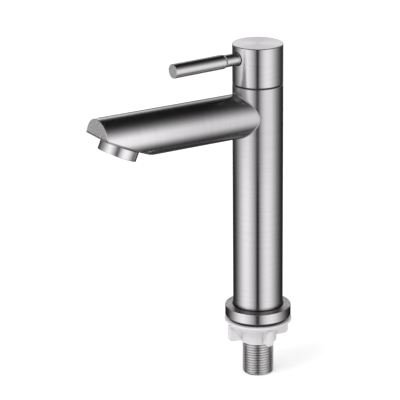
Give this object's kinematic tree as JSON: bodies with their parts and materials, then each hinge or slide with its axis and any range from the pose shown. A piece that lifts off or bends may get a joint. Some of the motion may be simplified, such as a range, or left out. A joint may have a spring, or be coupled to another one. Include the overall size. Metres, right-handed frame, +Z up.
{
  "type": "basin pillar tap",
  "caption": "Tall single-lever pillar tap for a cloakroom basin, with a straight round spout, an aerator under its slanted tip and a threaded tail with a winged nut.",
  "frame": {"origin": "on the column's axis, at the basin's top face, where the underside of the deck gasket lies", "axes": "+Z up along the column; the spout points along -Y, and the closed lever 3.8 degrees beside it; the lever opens towards +X"},
  "size_m": [0.0454, 0.1427, 0.2306],
  "materials": {
    "brushed_steel": "satin stainless steel, finely brushed round the tubes",
    "polished_steel": "bright turned and polished steel",
    "turned_steel": "stainless steel, bright as turned",
    "valve_brass": "machined brass",
    "black_rubber": "matt black rubber",
    "white_plastic": "white moulded plastic with a slight sheen",
    "dark_plastic": "dark grey bearing plastic",
    "grey_plastic": "grey moulded plastic",
    "valve_ceramic": "lapped off-white ceramic, opaque"
  },
  "bodies": {
    "tap": {"body_tube": "brushed_steel", "spout_tube": "brushed_steel", "spout_end_plate": "brushed_steel", "spout_sole_plate": "brushed_steel", "aerator_housing": "polished_steel", "aerator_gasket": "black_rubber", "aerator_insert": "grey_plastic", "aerator_screen": "turned_steel", "slip_ring": "dark_plastic", "base_plug": "brushed_steel", "base_flange": "brushed_steel", "deck_gasket": "black_rubber", "threaded_shank": "turned_steel", "riser_tube": "turned_steel", "riser_seals": "black_rubber", "valve_housing": "valve_brass", "valve_body": "valve_brass", "valve_o_ring": "black_rubber", "fixed_disc": "valve_ceramic", "seat_seal": "black_rubber"},
    "handle": {"handle_cap": "brushed_steel", "lever_rod": "brushed_steel", "handle_core": "turned_steel", "grub_screw": "turned_steel", "index_plug": "grey_plastic", "valve_spindle": "valve_brass", "spindle_o_rings": "black_rubber", "spindle_clip": "turned_steel", "spindle_washer": "dark_plastic", "moving_disc": "valve_ceramic"},
    "washer": {"friction_washer": "white_plastic"},
    "nut": {"back_nut": "white_plastic"}
  },
  "joints": [
    {"name": "handle_turn", "type": "hinge", "parent": "tap", "child": "handle", "pos_m": [0, 0, 0.183], "axis": [0, 0, 1], "range_deg": [0, 90]},
    {"name": "washer_travel", "type": "slide", "parent": "tap", "child": "washer", "axis": [0, 0, 1], "range_m": [-0.0218, 0]},
    {"name": "nut_turn", "type": "hinge", "parent": "washer", "child": "nut", "pos_m": [0, 0, -0.0028], "axis": [0, 0, 1], "range_deg": [-4320, 0]}
  ],
  "couplings": [
    {"joint": "washer_travel", "follows": "nut_turn", "m_per_rad": 0.00028875}
  ]
}
